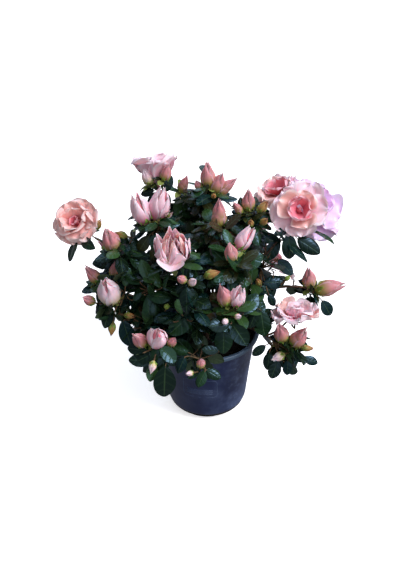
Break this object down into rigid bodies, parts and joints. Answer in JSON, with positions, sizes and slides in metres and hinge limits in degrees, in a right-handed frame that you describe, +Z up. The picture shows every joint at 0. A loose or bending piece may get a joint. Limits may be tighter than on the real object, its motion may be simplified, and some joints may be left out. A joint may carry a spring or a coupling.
{
  "type": "potted azalea shrub",
  "caption": "Compact flowering shrub of small glossy leaves with ruffled pink blooms and buds, growing from compost in a tapered plastic nursery pot.",
  "frame": {"origin": "centre of the pot's flat underside, on the surface it stands on", "axes": "+Z up along the pot's axis, -Y towards the front, +X to the right"},
  "size_m": [0.3266, 0.2911, 0.282],
  "materials": {
    "pot": "satin",
    "compost": "matte",
    "bark": "matte",
    "foliage": "satin"
  },
  "bodies": {
    "root": {"bough_back": "bark", "bough_back_left": "bark", "bough_back_low": "bark", "bough_back_right": "bark", "bough_centre": "bark", "bough_far_right": "bark", "bough_front": "bark", "bough_front_left": "bark", "bough_front_low": "bark", "bough_left": "bark", "bough_left_bloom": "bark", "bough_low_right": "bark", "bough_right_bloom": "bark", "bough_right_side": "bark", "bough_top": "bark", "bough_top_left": "bark", "bough_upper": "bark", "bough_upper_left": "bark", "bough_upper_right": "bark", "compost": "compost", "mass_back": "foliage", "mass_back_left": "foliage", "mass_back_low": "foliage", "mass_back_low_left": "foliage", "mass_back_low_right": "foliage", "mass_back_right": "foliage", "mass_back_top": "foliage", "mass_centre": "foliage", "mass_centre_left": "foliage", "mass_centre_low": "foliage", "mass_far_right": "foliage", "mass_front": "foliage", "mass_front_leaves": "foliage", "mass_front_left": "foliage", "mass_front_low": "foliage", "mass_left": "foliage", "mass_left_bloom": "foliage", "mass_left_low": "foliage", "mass_left_upper": "foliage", "mass_low_bloom": "foliage", "mass_low_right": "foliage", "mass_right": "foliage", "mass_right_back": "foliage", "mass_right_bloom": "foliage", "mass_right_side": "foliage", "mass_right_upper": "foliage", "mass_top": "foliage", "mass_top_left": "foliage", "mass_upper": "foliage", "mass_upper_left": "foliage", "mass_upper_right": "foliage", "pot": "pot", "stem": "bark"}
  },
  "joints": []
}
